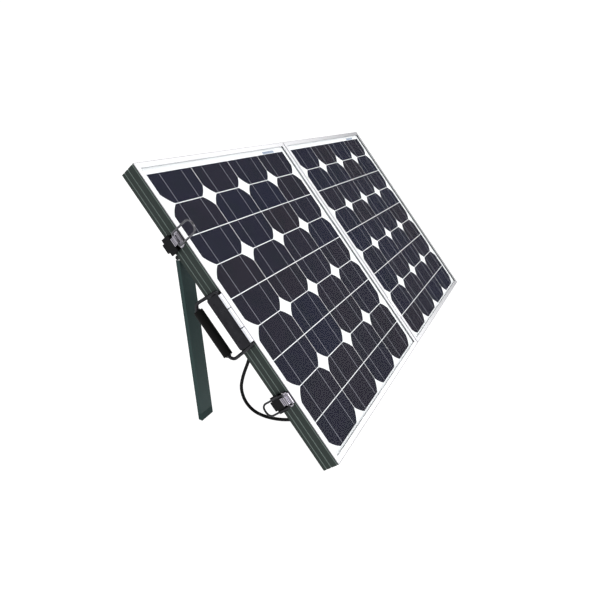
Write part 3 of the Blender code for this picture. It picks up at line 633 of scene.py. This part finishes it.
def add_rivets(name, body, material, way, radius, places):
    """Low domed rivet or screw heads that sit on a surface, and face the given way."""
    turn = Vector((0, 0, 1)).rotation_difference(way).to_matrix().to_4x4()
    flatten = Matrix.Scale(HEAD_H / radius, 4, (0, 0, 1))
    bm = bmesh.new()
    for place in places:
        matrix = Matrix.Translation(place) @ turn @ flatten
        bmesh.ops.create_uvsphere(bm, u_segments=16, v_segments=8, radius=radius, matrix=matrix)
    rivets = finish_mesh(bm, name, material, body, smooth=True)


def places_at(xs, ys, z):
    """Every place that has one of the xs and one of the ys."""
    return [(x, y, z) for x in xs for y in ys]


def add_latch_rivets():
    """One rivet above and one below each latch."""
    for name, y in LATCH_YS.items():
        ys = (y - LATCH_RIVETS_SPREAD, y + LATCH_RIVETS_SPREAD)
        places = places_at([-PLATE_FACE], ys, LATCH_RIVETS_Z)
        add_rivets(f"{name}_latch_rivets", "left_panel", "zinc", OUT_LEFT, THIN_RIVET_R, places)


def add_handle_rivets():
    """Three rivets down the handle's plate, of the plate's own finish."""
    ys = (FITTINGS_Y - HANDLE_RIVETS_SPREAD, FITTINGS_Y, FITTINGS_Y + HANDLE_RIVETS_SPREAD)
    places = places_at([HANDLE_RIVETS_X], ys, HANDLE_RIVETS_Z)
    add_rivets("handle_rivets", "left_panel", "handle_plate", OUT_LEFT, HANDLE_RIVET_R, places)


def add_bracket_rivets():
    """Two rivets across each leg's bracket."""
    right_xs = [KIT_W - x for x in reversed(BRACKET_RIVETS_X)]
    for side, xs in (("left", BRACKET_RIVETS_X), ("right", right_xs)):
        places = places_at(xs, [BRACKET_RIVETS_Y], BRACKET_RIVETS_Z)
        name, body = f"{side}_bracket_rivets", f"{side}_panel"
        add_rivets(name, body, "zinc", OUT_BACK, BRACKET_RIVET_R, places)


def add_catch_rivets():
    """Two rivets in each catch."""
    offsets = (-CATCH_RIVETS_SPREAD, CATCH_RIVETS_SPREAD)
    ys = [y + offset for y in sorted(LATCH_YS.values()) for offset in offsets]
    places = places_at([KIT_W + PLATE_FACE], ys, CATCH_RIVETS_Z)
    add_rivets("catch_rivets", "right_panel", "zinc", OUT_RIGHT, THIN_RIVET_R, places)


def add_screws(name, body, left, width, middle_y, spread, z):
    """The four screws of a lid."""
    xs = (left + SCREW_INSET, left + width - SCREW_INSET)
    places = places_at(xs, (middle_y - spread, middle_y + spread), z)
    add_rivets(name, body, "zinc", OUT_BACK, SCREW_R, places)


def add_all_screws():
    """The screws of the two junction boxes' lids and of the controller's cover."""
    right_box_x = KIT_W - BOX_X - BOX_W
    box = (BOX_W, BOX_Y, BOX_SCREWS_SPREAD, LID_Z)
    controller = (CONTROLLER_W, CONTROLLER_Y, CONTROLLER_SCREWS_SPREAD, COVER_Z)
    add_screws("left_lid_screws", "left_panel", BOX_X, *box)
    add_screws("right_lid_screws", "right_panel", right_box_x, *box)
    add_screws("controller_screws", "left_panel", BOX_X, *controller)


def smooth_route(points, per_span):
    """Catmull-Rom curve through given points."""
    knots = [Vector(p) for p in points]
    knots = [2 * knots[0] - knots[1], *knots, 2 * knots[-1] - knots[-2]]
    route = []
    for a, b, c, d in zip(knots, knots[1:], knots[2:], knots[3:]):
        for n in range(per_span):
            t = n / per_span
            route.append(
                0.5 * (2 * b + (c - a) * t + (2 * a - 5 * b + 4 * c - d) * t**2)
                + 0.5 * (3 * b - a - 3 * c + d) * t**3
            )
    route.append(knots[-2])
    return route


def add_cable():
    """The lead that hangs in a loop between the two glands."""
    route = [PANEL @ (point * MM) for point in smooth_route(CABLE_ROUTE, CABLE_SPANS)]
    curve = bpy.data.curves.new("loop_lead", "CURVE")
    curve.dimensions = "3D"
    curve.bevel_depth = CABLE_R
    curve.bevel_resolution = 5
    curve.use_fill_caps = True
    spline = curve.splines.new("POLY")
    spline.points.add(len(route) - 1)
    for point, place in zip(spline.points, route, strict=True):
        point.co = (*place, 1)
    spline.use_smooth = True
    curve.materials.append(MATERIALS["lead"])
    lead = bpy.data.objects.new("loop_lead", curve)
    bpy.context.scene.collection.objects.link(lead)
    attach(lead, "left_panel")
    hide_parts("cable")


# Studio


def add_floor():
    """A plain floor, white from its own light."""
    bm = bmesh.new()
    bmesh.ops.create_grid(bm, x_segments=1, y_segments=1, size=FLOOR_HALF)
    mesh = bpy.data.meshes.new("floor")
    bm.to_mesh(mesh)
    bm.free()
    material, shader = new_material("floor")
    set_values(shader, Base_Color=(0.2, 0.2, 0.2, 1), Roughness=0.9, Specular_IOR_Level=0.0)
    set_values(shader, Emission_Color=(1, 1, 1, 1), Emission_Strength=1.0)
    mesh.materials.append(material)
    floor = bpy.data.objects.new("floor", mesh)
    floor.location.z = -FLOOR_DROP
    bpy.context.scene.collection.objects.link(floor)


def add_softbox(name, place, size, power):
    data = bpy.data.lights.new(name, "AREA")
    data.shape = "RECTANGLE"
    data.size, data.size_y = size
    data.energy = power
    light = bpy.data.objects.new(name, data)
    light.location = place
    way = SOFTBOX_TARGET - Vector(place)
    light.rotation_mode = "QUATERNION"
    light.rotation_quaternion = way.to_track_quat("-Z", "Y")
    bpy.context.scene.collection.objects.link(light)


def add_studio():
    """White near the floor, darker overhead, with softboxes in front and above."""
    add_floor()
    world = bpy.data.worlds.new("studio")
    bpy.context.scene.world = world
    world.use_nodes = True
    tree = world.node_tree
    way = node(tree, "ShaderNodeTexCoord").outputs["Generated"]
    up = node(tree, "ShaderNodeSeparateXYZ", {0: way}).outputs["Z"]
    level = ramp(tree, up, *SKY_LEVELS, *SKY_HEIGHTS)
    grey = node(tree, "ShaderNodeCombineXYZ", {0: level, 1: level, 2: level}).outputs[0]
    background = tree.nodes["Background"]
    tree.links.new(grey, background.inputs["Color"])
    background.inputs["Strength"].default_value = 1.0
    for softbox in SOFTBOXES:
        add_softbox(*softbox)


add_camera()
add_cable()
paint_cad_nodes()
for side, left, seed in PANELS:
    add_cells(side, left, seed)
    add_ribbons(side, left)
for side, left, _ in PANELS:
    add_blank_plate(side, left)
add_latch_rivets()
add_handle_rivets()
add_bracket_rivets()
add_catch_rivets()
add_all_screws()
add_studio()
bpy.context.scene.view_settings.view_transform = "Standard"
